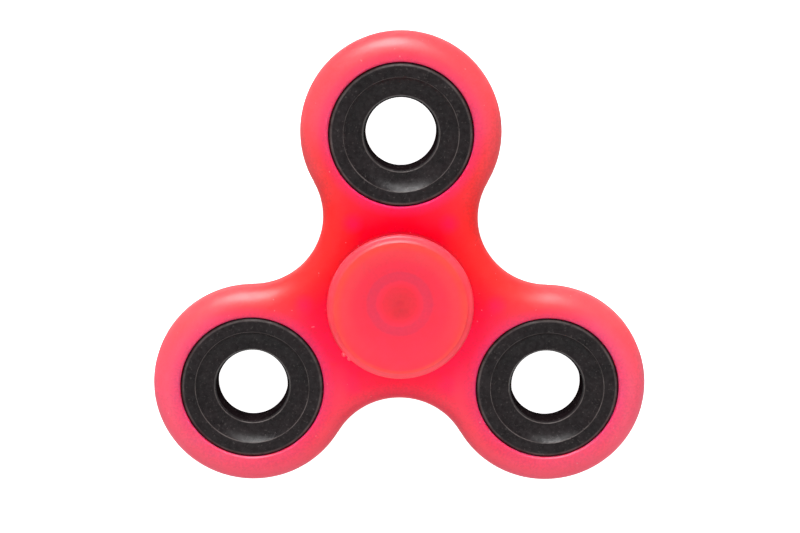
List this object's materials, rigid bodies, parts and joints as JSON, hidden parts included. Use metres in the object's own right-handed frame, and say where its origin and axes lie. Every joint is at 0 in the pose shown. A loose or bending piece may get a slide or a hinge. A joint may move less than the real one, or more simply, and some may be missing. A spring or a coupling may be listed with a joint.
{
  "type": "fidget spinner",
  "caption": "Three-lobed fidget spinner: a red translucent body with black ring weights spins on a shielded ball bearing between two round finger caps.",
  "frame": {"origin": "centre of the ball bearing, on the spin axis at the body's mid-plane", "axes": "+Z along the spin axis, out of the front cap; +Y from the spin axis to the top weight; +X to the right seen from the front; the spinner lies flat on its back cap"},
  "size_m": [0.0758, 0.0698, 0.0128],
  "materials": {
    "red_body_plastic": "satin translucent red plastic with softly rounded edges",
    "red_cap_plastic": "satin translucent red plastic, the steel race shows through faintly",
    "black_plastic": "satin black moulded plastic with fine scuffs",
    "plated_steel": "dull plated steel",
    "race_steel": "ground bearing steel",
    "ball_steel": "polished bearing steel",
    "pressed_steel": "pressed sheet steel"
  },
  "bodies": {
    "hub": {"bearing_inner_race": "race_steel", "cap_front": "red_cap_plastic", "cap_back": "red_cap_plastic"},
    "rotor": {"spinner_body": "red_body_plastic", "bearing_outer_race": "race_steel", "bearing_shield_front": "pressed_steel", "bearing_shield_back": "pressed_steel", "weight_ring_top": "plated_steel", "weight_ring_left": "plated_steel", "weight_ring_right": "plated_steel", "weight_cover_front_top": "black_plastic", "weight_cover_front_left": "black_plastic", "weight_cover_front_right": "black_plastic", "weight_cover_back_top": "black_plastic", "weight_cover_back_left": "black_plastic", "weight_cover_back_right": "black_plastic"},
    "cage": {"bearing_cage_front": "pressed_steel", "bearing_cage_back": "pressed_steel", "bearing_cage_rivets": "pressed_steel"},
    "ball_1": {"bearing_ball_1": "ball_steel"},
    "ball_2": {"bearing_ball_2": "ball_steel"},
    "ball_3": {"bearing_ball_3": "ball_steel"},
    "ball_4": {"bearing_ball_4": "ball_steel"},
    "ball_5": {"bearing_ball_5": "ball_steel"},
    "ball_6": {"bearing_ball_6": "ball_steel"},
    "ball_7": {"bearing_ball_7": "ball_steel"}
  },
  "joints": [
    {"name": "rotor_spin", "type": "hinge", "parent": "hub", "child": "rotor", "pos_m": [0, 0, 0], "axis": [0, 0, 1], "continuous": true},
    {"name": "cage_spin", "type": "hinge", "parent": "hub", "child": "cage", "pos_m": [0, 0, 0], "axis": [0, 0, 1], "continuous": true},
    {"name": "ball_1_roll", "type": "hinge", "parent": "cage", "child": "ball_1", "pos_m": [0.0075, 0, 0], "axis": [0, 0, 1], "continuous": true},
    {"name": "ball_2_roll", "type": "hinge", "parent": "cage", "child": "ball_2", "pos_m": [0.00468, 0.00586, 0], "axis": [0, 0, 1], "continuous": true},
    {"name": "ball_3_roll", "type": "hinge", "parent": "cage", "child": "ball_3", "pos_m": [-0.00167, 0.00731, 0], "axis": [0, 0, 1], "continuous": true},
    {"name": "ball_4_roll", "type": "hinge", "parent": "cage", "child": "ball_4", "pos_m": [-0.00676, 0.00325, 0], "axis": [0, 0, 1], "continuous": true},
    {"name": "ball_5_roll", "type": "hinge", "parent": "cage", "child": "ball_5", "pos_m": [-0.00676, -0.00325, 0], "axis": [0, 0, 1], "continuous": true},
    {"name": "ball_6_roll", "type": "hinge", "parent": "cage", "child": "ball_6", "pos_m": [-0.00167, -0.00731, 0], "axis": [0, 0, 1], "continuous": true},
    {"name": "ball_7_roll", "type": "hinge", "parent": "cage", "child": "ball_7", "pos_m": [0.00468, -0.00586, 0], "axis": [0, 0, 1], "continuous": true}
  ],
  "couplings": [
    {"joint": "cage_spin", "follows": "rotor_spin", "ratio": 0.6323},
    {"joint": "ball_1_roll", "follows": "rotor_spin", "ratio": 1.7573},
    {"joint": "ball_2_roll", "follows": "rotor_spin", "ratio": 1.7573},
    {"joint": "ball_3_roll", "follows": "rotor_spin", "ratio": 1.7573},
    {"joint": "ball_4_roll", "follows": "rotor_spin", "ratio": 1.7573},
    {"joint": "ball_5_roll", "follows": "rotor_spin", "ratio": 1.7573},
    {"joint": "ball_6_roll", "follows": "rotor_spin", "ratio": 1.7573},
    {"joint": "ball_7_roll", "follows": "rotor_spin", "ratio": 1.7573}
  ]
}
